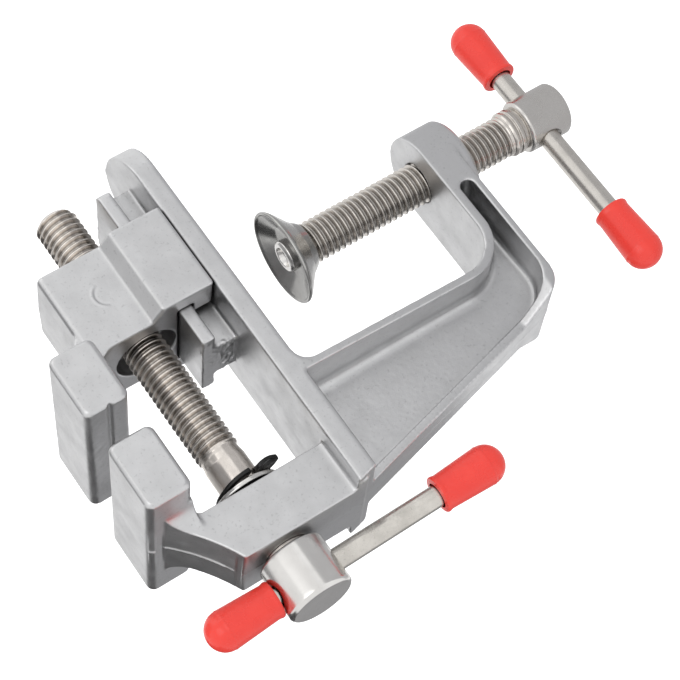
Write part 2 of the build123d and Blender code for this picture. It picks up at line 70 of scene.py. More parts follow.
# washers and clip on the lead screw
WAVE_X = (-36.6, -35.8)
THRUST_X = (-35.8, -34.9)
CLIP_X = (-34.85, -33.95)
CLIP_GROOVE_R = 3.2
WASHER_R = 6.4
# bars, their cross holes and caps
BAR_R = 2.0
HOLE_R = 2.08
LEAD_BAR = (18.0, -38.3)
CLAMP_BAR = (22.55, -35.25)
CAP_LENGTH = 13.4
CAP_WALL = 1.6
CAP_REACH = CAP_LENGTH - CAP_WALL
# clamp screw, along Z
CLAMP_HEAD = (-65.2, -74.5)
CLAMP_HEAD_R = 5.15
CLAMP_BAR_Z = -69.1
COLLAR_TOP = -61.9
COLLAR_R = 4.4
TIP_TOP = -12.6
SPIGOT_R = 2.9
SPIGOT_IN_HEAD = 0.4
CLAMP_DROP = 24.3
# pad
PAD_FRONT = -12.4
PAD_BACK = -17.7
PAD_R = 9.2
# half the thickness of the arm's web
WEB = 1.7


# ---- mesh helpers ----
def mesh_object(name, verts, faces, body, slot, replaces, finish, sharp=35):
    """A new mesh in the row frame, from points in millimetres."""
    data = bpy.data.meshes.new(name)
    data.from_pydata([Vector(v) * MM for v in verts], [], faces)
    data.validate()
    data.update()
    obj = bpy.data.objects.new(name, data)
    bpy.context.scene.collection.objects.link(obj)
    finish_mesh(obj, sharp)
    dress(obj, body, replaces, finish)
    return obj


def finish_mesh(obj, sharp):
    """Faces outward, shaded smooth except over edges sharper than an angle."""
    b = bmesh.new()
    b.from_mesh(obj.data)
    bmesh.ops.recalc_face_normals(b, faces=b.faces)
    b.to_mesh(obj.data)
    b.free()
    obj.data.polygons.foreach_set("use_smooth", [True] * len(obj.data.polygons))
    obj.data.set_sharp_from_angle(angle=math.radians(sharp))


def dress(obj, body, replaces, finish):
    """Gives a piece its material and its body, and hides the nodes it stands for."""
    obj.data.materials.clear()
    obj.data.materials.append(finish)
    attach(obj, body)
    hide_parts(*replaces)


def soften(points, radius, steps=4):
    """Rounds every corner of a (station, radius) outline but its two ends."""
    out = [points[0]]
    for before, p, after in zip(points, points[1:], points[2:]):
        a, b, c = Vector(before), Vector(p), Vector(after)
        la, lc = (a - b).length, (c - b).length
        if la < TINY or lc < TINY:
            out.append(p)
            continue
        cut = min(radius, la * 0.45, lc * 0.45)
        start, end = b + (a - b) * (cut / la), b + (c - b) * (cut / lc)
        for s in range(steps + 1):
            t = s / steps
            q = start * (1 - t) ** 2 + b * 2 * t * (1 - t) + end * t**2
            out.append((q.x, q.y))
    out.append(points[-1])
    return out


def skin(outline, place, turns, radius_at=None, closed=False):
    """Turns an outline of (station, radius) about an axis; place() gives the point in space.

    radius_at(station, radius, turn) may change the radius at a fraction of a turn.
    """
    verts, faces, rings = [], [], []
    for station, radius in outline:
        if radius < TINY:
            rings.append([len(verts)] * turns)
            verts.append(place(station, 0, 0))
            continue
        rings.append(list(range(len(verts), len(verts) + turns)))
        for k in range(turns):
            angle = 2 * math.pi * k / turns
            r = radius_at(station, radius, k / turns) if radius_at else radius
            verts.append(place(station, r * math.cos(angle), r * math.sin(angle)))
    pairs = list(zip(rings, rings[1:]))
    if closed:
        pairs.append((rings[-1], rings[0]))
    for low, high in pairs:
        for k in range(turns):
            n = (k + 1) % turns
            corners = []
            for v in (low[k], low[n], high[n], high[k]):
                if v not in corners:
                    corners.append(v)
            if len(corners) > 2:
                faces.append(corners)
    return verts, faces


def sweep(rings, closed=True):
    """Joins equal rings of points into a skin; an open one gets flat ends."""
    verts = [p for ring in rings for p in ring]
    size, count = len(rings[0]), len(rings)
    faces = []
    for i in range(count if closed else count - 1):
        n = (i + 1) % count
        for k in range(size):
            m = (k + 1) % size
            faces.append((i * size + k, i * size + m, n * size + m, n * size + k))
    if not closed:
        faces.append(tuple(range(size)))
        faces.append(tuple((count - 1) * size + k for k in range(size)))
    return verts, faces


# each of these takes a place along an axis and two offsets across it, and gives the point in space
def along_lead(station, u, v):
    return (station, u, LEAD_Z + v)


def along_clamp(station, u, v):
    return (u, v, station)


def along_lead_bar(station, u, v):
    across, up = math.sin(LEAN), math.cos(LEAN)
    return (LEAD_BAR_X + u, station * across + v * up, LEAD_Z + station * up - v * across)


def along_clamp_bar(station, u, v):
    return (station, u, CLAMP_BAR_Z + v)


# ---- threads ----
THREAD_TURNS = 80
THREAD_STEP = PITCH / 20
CREST = 0.14
FLANK = 0.62
RUN_IN = 0.8 * PITCH
RUN_OUT = 0.3


def thread_radius(turn):
    """Radius of a rolled metric thread at a fraction of a turn: narrow crest, straight flanks."""
    t = abs((turn % 1.0) - 0.5) * 2
    flank = min(max((t - CREST) / FLANK, 0.0), 1.0)
    eased = flank * flank * (3 - 2 * flank)
    return SCREW_R - (SCREW_R - ROOT_R) * (0.65 * flank + 0.35 * eased)


def threaded(outline, span, place):
    """A screw: an outline of (station, radius) with a right-hand thread over a span of stations."""
    low, high = min(span), max(span)
    stations = []
    for (a, ra), (b, rb) in zip(outline, outline[1:]):
        inside = min(ra, rb) > ROOT_R and max(a, b) > low and min(a, b) < high
        parts = max(1, int(abs(b - a) / THREAD_STEP)) if inside else 1
        for i in range(parts):
            f = i / parts
            stations.append((a + (b - a) * f, ra + (rb - ra) * f))
    stations.append(outline[-1])

    def radius_at(station, radius, turn):
        if not low - TINY <= station <= high + TINY:
            return radius
        fade = min(1.0, (station - low) / RUN_IN, (high + RUN_OUT - station) / (RUN_OUT * PITCH))
        cut = (SCREW_R - thread_radius(station / PITCH - turn)) * max(0.0, fade)
        return min(radius, SCREW_R - cut)

    return skin(stations, place, THREAD_TURNS, radius_at)


# ---- materials ----
# the span of a noise's values that is spread over a whole mix
COLOUR_SPAN = (0.32, 0.68)
ROUGH_SPAN = (0.3, 0.7)
SPECK_SPAN = (0.62, 0.74)
# shares of the slow and the fine noise in the bump, and the bump's depth in millimetres
SLOW_BUMP = 0.45
FINE_BUMP = 0.3
BUMP_DEPTH = 0.1
# how squarely a side faces before it is painted dark as shade, and how shut in a corner is before it is
# painted dark as shade
FACING_SHADE_SPAN = (0.35, 0.75)
CREVICE_SPAN = (0.05, 0.75)
CREVICE_REACH = 4.5


def node(tree, kind, inputs=None, **settings):
    """Adds a shader node; each input is a value, or a socket to link from."""
    made = tree.nodes.new("ShaderNode" + kind)
    for key, value in settings.items():
        setattr(made, key, value)
    for socket, value in (inputs or {}).items():
        if isinstance(value, bpy.types.NodeSocket):
            tree.links.new(value, made.inputs[socket])
        else:
            made.inputs[socket].default_value = value
    return made


def ranged(tree, value, start, end, low=0.0, high=1.0):
    """Maps a value from start..end to low..high."""
    sockets = {"Value": value, "From Min": start, "From Max": end, "To Min": low, "To Max": high}
    return node(tree, "MapRange", sockets).outputs["Result"]


def shaded(tree, colour, level):
    """A colour multiplied by a level."""
    return node(tree, "VectorMath", {0: colour, "Scale": level}, operation="SCALE").outputs["Vector"]


def specked(tree, where, colour, base, grain, amount):
    """Small dark specks, such as pores and dirt."""
    spot = node(tree, "TexNoise", {"Vector": where.outputs["Object"], "Scale": grain * 0.4, "Detail": 2})
    few = ranged(tree, spot.outputs["Fac"], *SPECK_SPAN, 0.0, amount)
    dark = (*[c * 0.45 for c in base], 1)
    return node(tree, "Mix", {0: few, 6: colour, 7: dark}, data_type="RGBA").outputs[2]


def thread_root_painted_shade(tree, where, colour, point, across, dark):
    """Painted shade in a thread's root: the colour darkens from crest to root, by the distance from the
    axis.
    """
    axis = [c * MM for c in point]
    off = node(tree, "VectorMath", {0: where.outputs["Object"], 1: axis}, operation="SUBTRACT")
    flat = node(tree, "VectorMath", {0: off.outputs["Vector"], 1: across}, operation="MULTIPLY")
    reach = node(tree, "VectorMath", {0: flat.outputs["Vector"]}, operation="LENGTH")
    crest = ranged(tree, reach.outputs["Value"], (ROOT_R + 0.05) * MM, (SCREW_R - 0.3) * MM, dark, 1.0)
    return shaded(tree, colour, crest)


def painted_facing_shade(tree, where, colour, way, dark):
    """Painted shade on what faces one way of the object: its colour darkens as it turns that way."""
    toward = node(tree, "VectorMath", {0: where.outputs["Normal"], 1: way}, operation="DOT_PRODUCT")
    return shaded(tree, colour, ranged(tree, toward.outputs["Value"], *FACING_SHADE_SPAN, 1.0, dark))


def painted_crevice_shade(tree, colour, amount):
    """Painted shade: narrow gaps and inner corners darken, by ambient occlusion."""
    sky = node(tree, "AmbientOcclusion", {"Distance": CREVICE_REACH * MM}, samples=6)
    return shaded(tree, colour, ranged(tree, sky.outputs["AO"], *CREVICE_SPAN, 1 - amount, 1.0))


def material(name, colour, second, metallic=1.0, roughness=0.2, mottle=300, grain=8000, bump=0.18,
             spread=0.06, stretch=(1, 1, 1), specks=0.0, root_shade=None, crevice_shade=0.0, facing_shade=None):
    """A procedural finish: two colours and a roughness mixed by slow noise, and a fine-grained bump.

    root_shade holds the last three arguments of thread_root_painted_shade, facing_shade the last two of
    painted_facing_shade; both paint shade into the colour.
    """
    mat = bpy.data.materials.new(name)
    mat.use_nodes = True
    tree = mat.node_tree
    shader = tree.nodes["Principled BSDF"]
    shader.inputs["Metallic"].default_value = metallic
    where = node(tree, "TexCoord")
    place = where.outputs["Object"]
    slow = node(tree, "TexNoise", {"Vector": place, "Scale": mottle, "Detail": 5, "Roughness": 0.6})
    pull = node(tree, "Mapping", {"Vector": place, "Scale": stretch})
    fine = node(tree, "TexNoise", {"Vector": pull.outputs["Vector"], "Scale": grain, "Detail": 3})
    mixed = ranged(tree, slow.outputs["Fac"], *COLOUR_SPAN)
    tint = node(tree, "Mix", {0: mixed, 6: (*colour, 1), 7: (*second, 1)}, data_type="RGBA").outputs[2]
    if specks:
        tint = specked(tree, where, tint, colour, grain, specks)
    # painted shade in a thread's roots
    if root_shade:
        tint = thread_root_painted_shade(tree, where, tint, *root_shade)
    # painted shade on what faces one way
    if facing_shade:
        tint = painted_facing_shade(tree, where, tint, *facing_shade)
    # painted shade in crevices and inner corners
    if crevice_shade:
        tint = painted_crevice_shade(tree, tint, crevice_shade)
    tree.links.new(tint, shader.inputs["Base Color"])
    rough = ranged(tree, slow.outputs["Fac"], *ROUGH_SPAN, roughness - spread, roughness + spread)
    tree.links.new(rough, shader.inputs["Roughness"])
    gentle = node(tree, "Math", {0: slow.outputs["Fac"], 1: SLOW_BUMP}, operation="MULTIPLY")
    height = {0: fine.outputs["Fac"], 1: FINE_BUMP, 2: gentle.outputs["Value"]}
    both = node(tree, "Math", height, operation="MULTIPLY_ADD")
    sockets = {"Strength": bump, "Distance": BUMP_DEPTH * MM, "Height": both.outputs["Value"]}
    relief = node(tree, "Bump", sockets)
    tree.links.new(relief.outputs["Normal"], shader.inputs["Normal"])
    return mat


# turning and drawing marks run round the axis or along the bar
ROUND_X = (1, 0.04, 0.04)
ROUND_Z = (0.04, 0.04, 1)
# painted shade in each screw's thread roots: a point on the axis, the axes it is measured across, and the
# colour's level at the root
LEAD_ROOT_SHADE = ((0, 0, LEAD_Z), (0, 1, 1), 0.58)
CLAMP_ROOT_SHADE = ((0, 0, 0), (1, 1, 0), 0.55)

# the castings get painted shade in their crevices and hollows
cast_alloy = material("cast_alloy_satin", (0.635, 0.635, 0.64), (0.59, 0.59, 0.595), roughness=0.36,
                      mottle=260, grain=5200, bump=0.42, specks=0.3, crevice_shade=0.5)
# the screws share one nickel in two copies: the lead screw's is painted lighter, as if lit, and the clamp
# screw's darker, as painted shade
lead_nickel_lit = material("nickel_thread_lead_lit", (0.80, 0.745, 0.69), (0.68, 0.635, 0.59), mottle=600,
                       grain=7000, spread=0.07, stretch=ROUND_X, root_shade=LEAD_ROOT_SHADE)
clamp_nickel_shaded = material("nickel_thread_clamp_shaded", (0.69, 0.65, 0.61), (0.57, 0.54, 0.50), roughness=0.23,
                        mottle=600, grain=7000, spread=0.07, stretch=ROUND_Z, root_shade=CLAMP_ROOT_SHADE)
nickel_head = material("nickel_satin", (0.66, 0.64, 0.615), (0.60, 0.58, 0.555), roughness=0.27,
                       grain=9000, bump=0.16, spread=0.05, stretch=ROUND_Z)
chrome_head = material("chrome_polished", (0.76, 0.745, 0.725), (0.69, 0.675, 0.655), mottle=260,
                       grain=9000, bump=0.06, spread=0.03, stretch=ROUND_X)
lead_bar_metal = material("nickel_bar_lead", (0.66, 0.63, 0.585), (0.55, 0.525, 0.485), roughness=0.25,
                          mottle=320, bump=0.2, spread=0.08, stretch=(1, 1, 0.05), specks=0.4)
clamp_bar_metal = material("nickel_bar_clamp", (0.68, 0.65, 0.61), (0.58, 0.555, 0.52), roughness=0.25,
                           mottle=320, bump=0.2, spread=0.08, stretch=(0.05, 1, 1), specks=0.4)
bright_steel = material("bright_washer", (0.74, 0.73, 0.71), (0.64, 0.63, 0.61), mottle=400, grain=7000,
                        bump=0.15)
black_steel = material("black_oxide", (0.035, 0.035, 0.035), (0.02, 0.02, 0.02), metallic=0.7,
                       roughness=0.34, mottle=400, grain=6000, bump=0.2)
# painted shade darkens the pad where it faces +Z, inside its dish
pad_steel = material("turned_pad", (0.48, 0.475, 0.46), (0.37, 0.365, 0.355), mottle=260, bump=0.2,
                     stretch=(0.06, 0.06, 1), facing_shade=((0, 0, 1), 0.85))
red_vinyl = material("red_vinyl", (0.95, 0.06, 0.042), (0.90, 0.05, 0.036), metallic=0.0, roughness=0.27,
                     mottle=220, grain=3500, bump=0.12)

# ---- roots of the arm's pocket, seen from the near side: X and Z of the wall, radius of its root ----
SLOPE = -0.251
RIM_IN = -44.496
FLANGE_BACK = -25.4
FLANGE_TOP = -1.2
FLOOR_UNDER = -44.3
RIB_TOP = -47.15
FLANGE_BEND = 9.0
RIM_BEND = 6.5
POCKET_END = -8.0
BOSS_R = 9.0
ARM_UNDER = -48.5
WAIST_ROOT_R = 1.3


def arc(centre, radius, start, end, steps):
    points = []
    for k in range(steps + 1):
        t = math.radians(start + (end - start) * k / steps)
        points.append((centre[0] + radius * math.cos(t), centre[1] + radius * math.sin(t)))
    return points


def pocket_path():
    """(x, z, root radius) all round the pocket: flange, floor, end, rib, rim and the plate's underside."""
    half = (FLOOR_UNDER - RIB_TOP) / 2
    end_x = POCKET_END - half
    floor_start = FLANGE_BACK + FLANGE_BEND
    path = [(FLANGE_BACK, FLANGE_TOP - 3.4 * k, 1.9) for k in range(11)]
    bend = arc((floor_start, FLOOR_UNDER + FLANGE_BEND), FLANGE_BEND, 180, 270, 14)
    path += [(x, z, 1.9 - 1.1 * k / 14) for k, (x, z) in enumerate(bend)]
    path += [(floor_start + k * 2.2, FLOOR_UNDER, 0.8 + 0.1 * k) for k in (1, 2, 3)]
    path += [(x, z, 1.2) for x, z in arc((end_x, FLOOR_UNDER - half), half, 80, -80, 10)]
    path += [(end_x - k * 2.6, RIB_TOP, 1.15 - 0.06 * k) for k in range(1, 7)]
    # the rim's inner corner lies where the rib's top meets the sloping inner line
    corner = RIM_IN + SLOPE * RIB_TOP
    lean = math.degrees(math.atan(-SLOPE))
    reach = RIM_BEND / math.tan(math.radians(90 + lean) / 2)
    centre = (corner + reach, RIB_TOP + RIM_BEND)
    path += [(x, z, 0.8) for x, z in arc(centre, RIM_BEND, 270, 180 + lean, 10)]
    rim_foot = path[-1][1]
    for k in range(1, 12):
        z = rim_foot + (FLANGE_TOP - rim_foot) * k / 11
        path.append((RIM_IN + SLOPE * z, z, 0.8))
    path += [(RIM_IN + SLOPE * FLANGE_TOP + 1.6 + k * 2.6, 0, 1.1) for k in range(7)]
    return path


def root_shape(radius, sink, angles):
    """Section of a concave root: two legs sunk into the walls, and a hollow between them."""
    hollow = [(radius - radius * math.sin(t), radius - radius * math.cos(t)) for t in angles]
    return [(-sink, -sink), (radius, -sink), *hollow, (-sink, radius)]


def pocket_root(side):
    """Concave root all round the pocket, between the web and what stands on it."""
    path = pocket_path()
    rings = []
    for i, (x, z, r) in enumerate(path):
        a, b = path[i - 1], path[(i + 1) % len(path)]
        along = Vector((b[0] - a[0], b[1] - a[1])).normalized()
        inward = Vector((along.y, -along.x))
        shape = root_shape(r, 0.4, (0, 0.26, 0.52, 0.79, 1.05, 1.31, 1.571))
        rings.append([(x + inward.x * u, side * (WEB + v), z + inward.y * u) for u, v in shape])
    return sweep(rings)


def waist_root():
    """Concave root under the lower arm where the round boss stands proud of it."""
    shape = root_shape(WAIST_ROOT_R, 0.5, (0, 0.39, 0.79, 1.18, 1.571))
    rings = []
    for k in range(13):
        t = math.radians(121 + 118 * k / 12)
        c, s = math.cos(t), math.sin(t)
        rings.append([((BOSS_R + u) * c, (BOSS_R + u) * s, ARM_UNDER - v) for u, v in shape])
    return sweep(rings, False)


# ---- castings: the solids' shapes with the soft edges and faint waves of a die casting ----
CAST_PASSES = 6
WELD = 2e-6
# the waves all over a casting: how close they are, and their height
CAST_WAVES = ((0.16, 0.016), (0.55, 0.009), (1.7, 0.006))
# the ejector's mark on the jaw: centre, radius, and the arc that shows
EJECTOR = (5.76, 20.19)
EJECTOR_R = 2.45
EJECTOR_ARC = (20, 166)
# where the rail's ends and the neck's outer side lie
RAIL_HALF = 9.5
RAIL_Z = (4.9, 12)
RAIL_ROUGH_BELOW = 8
RAIL_ENDS = ((-12, -10.4), (23.7, 25))
NECK_X = (-47, -26)
NECK_FOOT = 19
NECK_HALF = 7
NECK_RIDGE = 0.3
# height and width of each soft line of relief
EJECTOR_LIP = (0.16, 0.24)
EJECTOR_HOLLOW = (-0.10, 0.22)
FLASH = (0.07, 0.28)
NECK_CROWN = (0.13, 0.32)


def line_at(offset, line):
    """Height of a soft line of relief at an offset from its middle."""
    height, width = line
    return height * math.exp(-((offset / width) ** 2))


def jaw_relief(p, n):
    """The mark of an ejector pin on the near side, and the back's unevenness."""
    wave = 0.0
    if n.y < -0.8 and p.y < -9:
        dx, dz = p.x - EJECTOR[0], p.z - EJECTOR[1]
        ring = math.hypot(dx, dz)
        turn = math.degrees(math.atan2(dz, dx))
        start, end = EJECTOR_ARC
        if start < turn < end:
            fade = math.sin(math.radians((turn - start) / (end - start) * 180)) ** 0.5
            wave += fade * line_at(ring - EJECTOR_R, EJECTOR_LIP)
            wave += fade * line_at(ring - EJECTOR_R + 0.4, EJECTOR_HOLLOW)
    if n.x < -0.6 and p.z > 29:
        wave += 0.05 * noise.noise(p * 0.9)
    return wave


def frame_relief(p, n):
    """Flash, the neck's ridge, the rail's broken ends and the web's unevenness."""
    wave = 0.0
    # flash along the parting line
    if abs(p.y) < 0.6 and abs(n.y) < 0.35 and (n.x < -0.5 or n.z < -0.7):
        wave += line_at(p.y, FLASH)
    # the two halves of the neck's outer side meet in a low ridge
    if -0.97 < n.x < -0.45 and n.z > 0.2 and NECK_X[0] < p.x < NECK_X[1] and p.z > NECK_FOOT:
        near = min(1.0, (p.z - NECK_FOOT) / 1.5)
        wave += near * (NECK_RIDGE * (1 - min(1.0, abs(p.y) / NECK_HALF)) + line_at(p.y, NECK_CROWN))
    # ragged ends of the rail, where the runner was broken off
    at_end = any(start < p.x < end for start, end in RAIL_ENDS)
    if at_end and RAIL_Z[0] < p.z < RAIL_Z[1] and abs(p.y) < RAIL_HALF:
        rough = max(0.0, noise.noise(p * 1.1)) * 0.5 + noise.noise(p * 2.9) * 0.16
        wave += rough * (0.9 if p.z < RAIL_ROUGH_BELOW else 0.35)
    # the near side of the web isn't quite flat
    if n.y < -0.8 and abs(p.y + WEB) < 0.4 and p.z < -1:
        wave += 0.012 * noise.noise(p * 2.2) + 0.015 * noise.noise(p * 0.35)
    return wave


def casting(node_name, body, voxel, extras, relief):
    """Covers a solid and its extra roots with one soft skin, and gives it its relief."""
    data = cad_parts[node_name].data.copy()
    obj = bpy.data.objects.new(node_name + "_cast", data)
    bpy.context.scene.collection.objects.link(obj)
    data.materials.clear()
    b = bmesh.new()
    b.from_mesh(data)
    bmesh.ops.remove_doubles(b, verts=b.verts, dist=WELD)
    for verts, faces in extras:
        made = [b.verts.new(Vector(v) * MM) for v in verts]
        added = [b.faces.new([made[i] for i in face]) for face in faces]
        bmesh.ops.recalc_face_normals(b, faces=added)
    b.to_mesh(data)
    b.free()
    cover = obj.modifiers.new("skin", "REMESH")
    cover.mode = "VOXEL"
    cover.voxel_size = voxel * MM
    cover.use_smooth_shade = True
    soft = obj.modifiers.new("soft", "SMOOTH")
    soft.factor = 0.5
    soft.iterations = CAST_PASSES
    dg = bpy.context.evaluated_depsgraph_get()
    done = bpy.data.meshes.new_from_object(obj.evaluated_get(dg))
    obj.modifiers.clear()
    obj.data = done
    done.name = obj.name
    moved = []
    for vertex in done.vertices:
        p = vertex.co / MM
        wave = relief(p, vertex.normal)
        for close, height in CAST_WAVES:
            wave += noise.noise(p * close) * height
        to = vertex.co + vertex.normal * (wave * MM)
        # the skin stays inside the box of the solids
        moved.extend(min(max(c, low), high) for c, low, high in zip(to, *cad_box))
    done.vertices.foreach_set("co", moved)
    done.update()
    done.polygons.foreach_set("use_smooth", [True] * len(done.polygons))
    dress(obj, body, (node_name,), cast_alloy)


casting("frame", "base", 0.24, [pocket_root(-1), pocket_root(1), waist_root()], frame_relief)
casting("movable_jaw", "sliding_jaw", 0.22, [], jaw_relief)

# ---- screws with their threads ----
lead_spigot_end = LEAD_BAR_X + BAR_R + SPIGOT_IN_HEAD
clamp_spigot_end = CLAMP_BAR_Z + BAR_R + SPIGOT_IN_HEAD
lead_outline = soften(
    [
        (lead_spigot_end, 0),
        (lead_spigot_end, SPIGOT_R),
        (LEAD_HEAD[0], SPIGOT_R),
        (LEAD_HEAD[0], LEAD_SHANK_R),
        (CLIP_X[0], LEAD_SHANK_R),
        (CLIP_X[0], CLIP_GROOVE_R),
        (CLIP_X[1], CLIP_GROOVE_R),
        (CLIP_X[1], LEAD_SHANK_R),
        (LEAD_THREAD_END - 2.1, LEAD_SHANK_R),
        (LEAD_THREAD_END - 0.7, SCREW_R - 0.35),
        (LEAD_THREAD_END - 0.1, SCREW_R - 0.35),
        (LEAD_THREAD_END + 0.3, SCREW_R),
        (LEAD_TIP - 0.9, SCREW_R),
        (LEAD_TIP, SCREW_R - 0.9),
        (LEAD_TIP, 0),
    ],
    0.16,
    3,
)
mesh_object("lead_screw_threaded", *threaded(lead_outline, (LEAD_THREAD_END, LEAD_TIP), along_lead),
            "lead_spindle", "nickel_screw", ("lead_screw",), lead_nickel_lit, 60)
clamp_outline = soften(
    [
        # recess in the tip and its rolled lip
        (TIP_TOP - 1.0, 0),
        (TIP_TOP - 0.75, 0.55),
        (TIP_TOP - 1.15, 1.05),
        (TIP_TOP - 1.15, 1.7),
        (TIP_TOP - 0.1, 1.95),
        (TIP_TOP, 2.3),
        (TIP_TOP - 0.12, 2.75),
        (TIP_TOP - 0.5, 3.1),
        (TIP_TOP - 2.1, 3.1),
        # neck through the pad
        (TIP_TOP - 2.1, 2.6),
        (PAD_BACK - 0.1, 2.6),
        (PAD_BACK - 0.1, SCREW_R - 0.45),
        (PAD_BACK - 0.5, SCREW_R),
        # collar with its groove
        (COLLAR_TOP, SCREW_R),
        (COLLAR_TOP - 0.1, COLLAR_R - 0.25),
        (COLLAR_TOP - 0.5, COLLAR_R),
        (COLLAR_TOP - 0.95, COLLAR_R),
        (COLLAR_TOP - 1.15, COLLAR_R - 0.3),
        (COLLAR_TOP - 1.45, COLLAR_R - 0.3),
        (COLLAR_TOP - 1.6, COLLAR_R),
        (COLLAR_TOP - 2.3, COLLAR_R),
        (COLLAR_TOP - 2.45, COLLAR_R - 0.25),
        (CLAMP_HEAD[0], COLLAR_R - 0.25),
        (CLAMP_HEAD[0], SPIGOT_R),
        (clamp_spigot_end, SPIGOT_R),
        (clamp_spigot_end, 0),
    ],
    0.12,
    3,
)
clamp_thread = mesh_object(
    "clamp_screw_threaded", *threaded(clamp_outline, (COLLAR_TOP + 0.2, PAD_BACK - 0.1), along_clamp),
    "clamp_spindle", "nickel_screw", ("clamp_screw",), clamp_nickel_shaded, 60)
# the turned tip in the pad is bright
clamp_thread.data.materials.append(chrome_head)
for face in clamp_thread.data.polygons:
    if face.center.z > (PAD_BACK + 0.1) * MM:
        face.material_index = 1


# ---- turned heads with a countersunk cross hole ----
def head(name, ends, radius, place, hole_place, body, slot, node_name, finish):
    start, end = ends
    way = -1 if end < start else 1
    length = abs(end - start)
    profile = [(0, 0), (0, radius - 0.45), (0.4, radius), (length - 0.6, radius), (length, radius - 0.6)]
    profile += [(length, radius - 1.4), (length, 0)]
    profile = soften(profile, 0.35, 5)
    dense = []
    for (a, ra), (b, rb) in zip(profile, profile[1:]):
        parts = max(1, int(abs(b - a) / 0.5))
        dense += [(a + (b - a) * k / parts, ra + (rb - ra) * k / parts) for k in range(parts)]
    dense.append(profile[-1])
    outline = [(start + way * s, r) for s, r in dense]
    obj = mesh_object(name, *skin(outline, place, 160), body, slot, (node_name,), finish, 28)
    # the countersinks widen the hole where it leaves the round side
    side = math.sqrt(radius**2 - HOLE_R**2) - 0.35
    cut = [(-radius - 1, 0), (-radius - 1, HOLE_R + 1.4), (-side, HOLE_R), (side, HOLE_R)]
    cut += [(radius + 1, HOLE_R + 1.4), (radius + 1, 0)]
    tool_verts, tool_faces = skin(cut, hole_place, 96)
    data = bpy.data.meshes.new(name + "_hole")
    data.from_pydata([Vector(v) * MM for v in tool_verts], [], tool_faces)
    tool = bpy.data.objects.new(name + "_hole", data)
    bpy.context.scene.collection.objects.link(tool)
    finish_mesh(tool, 30)
    drill = obj.modifiers.new("drill", "BOOLEAN")
    drill.operation = "DIFFERENCE"
    drill.solver = "EXACT"
    drill.object = tool
    dg = bpy.context.evaluated_depsgraph_get()
    done = bpy.data.meshes.new_from_object(obj.evaluated_get(dg))
    obj.modifiers.clear()
    obj.data = done
    bpy.data.objects.remove(tool)
    finish_mesh(obj, 28)


head("lead_head_turned", LEAD_HEAD, LEAD_HEAD_R, along_lead, along_lead_bar, "lead_spindle",
     "chrome_head", "lead_screw_head", chrome_head)
head("clamp_head_turned", CLAMP_HEAD, CLAMP_HEAD_R, along_clamp, along_clamp_bar, "clamp_spindle",
     "nickel_head", "clamp_screw_head", nickel_head)


# ---- bars and caps ----
def bar(name, ends, place, body, node_name, finish):
    top, low = ends
    outline = [(top, 0), (top, BAR_R - 0.3), (top - 0.3, BAR_R)]
    outline += [(top - (top - low) * k / 60, BAR_R) for k in range(1, 60)]
    outline += [(low + 0.3, BAR_R), (low, BAR_R - 0.3), (low, 0)]
    mesh_object(name, *skin(outline, place, 64), body, "nickel_bar", (node_name,), finish)


def cap(name, end, outward, place, body, node_name):
    """A vinyl cap on a bar's end: flared lip, slight belly, a moulding seam where the dome begins."""
    rim = end - outward * CAP_REACH
    lip = [(0.0, 2.35), (0.06, 2.95), (0.10, 3.28), (0.28, 3.40), (0.62, 3.40), (0.95, 3.30), (1.3, 3.27)]
    belly = [(2.6, 3.33), (4.5, 3.42), (6.5, 3.52), (8.2, 3.60), (9.3, 3.65)]
    seam = [(9.55, 3.66), (9.66, 3.70), (9.78, 3.70), (9.9, 3.64)]
    dome_r = 3.62
    dome_rise = dome_r - 0.15
    base = CAP_LENGTH - dome_rise
    dome = []
    for k in range(1, 15):
        t = math.pi / 2 * k / 14
        dome.append((base + dome_rise * math.sin(t), dome_r * math.cos(t)))
    inner = [(CAP_REACH, 0), (CAP_REACH, BAR_R), (1.2, BAR_R), (0.45, 2.12)]
    outline = [(rim + outward * s, r) for s, r in lip + belly + seam + dome + inner]
    mesh_object(name, *skin(outline, place, 96), body, "red_cap", (node_name,), red_vinyl, 45)


bar("lead_bar_turned", LEAD_BAR, along_lead_bar, "lead_bar", "lead_handle_bar", lead_bar_metal)
cap("lead_cap_upper_moulded", LEAD_BAR[0], 1, along_lead_bar, "lead_bar", "lead_cap_upper")
cap("lead_cap_lower_moulded", LEAD_BAR[1], -1, along_lead_bar, "lead_bar", "lead_cap_lower")
bar("clamp_bar_turned", CLAMP_BAR, along_clamp_bar, "clamp_bar", "clamp_handle_bar", clamp_bar_metal)
cap("clamp_cap_tail_moulded", CLAMP_BAR[0], 1, along_clamp_bar, "clamp_bar", "clamp_cap_tail")
cap("clamp_cap_handle_moulded", CLAMP_BAR[1], -1, along_clamp_bar, "clamp_bar", "clamp_cap_handle")

# ---- pad, washers and clip ----
pad_outline = soften(
    [
        (PAD_BACK, 2.75),
        (PAD_BACK, 4.35),
        (PAD_BACK + 0.35, 4.6),
        (PAD_BACK + 1.6, 5.5),
        (PAD_FRONT - 1.0, PAD_R - 0.45),
        (PAD_FRONT - 0.45, PAD_R),
        (PAD_FRONT, PAD_R - 0.12),
        (PAD_FRONT, PAD_R - 0.5),
        (PAD_FRONT - 0.35, PAD_R - 0.75),
        (PAD_FRONT - 2.2, 5.2),
        (PAD_FRONT - 2.75, 3.5),
        (PAD_FRONT - 2.9, 2.75),
    ],
    0.3,
)
mesh_object("clamp_pad_turned", *skin(pad_outline, along_clamp, 144, closed=True), "clamp_foot", "pad_steel",
            ("clamp_pad",), pad_steel, 40)


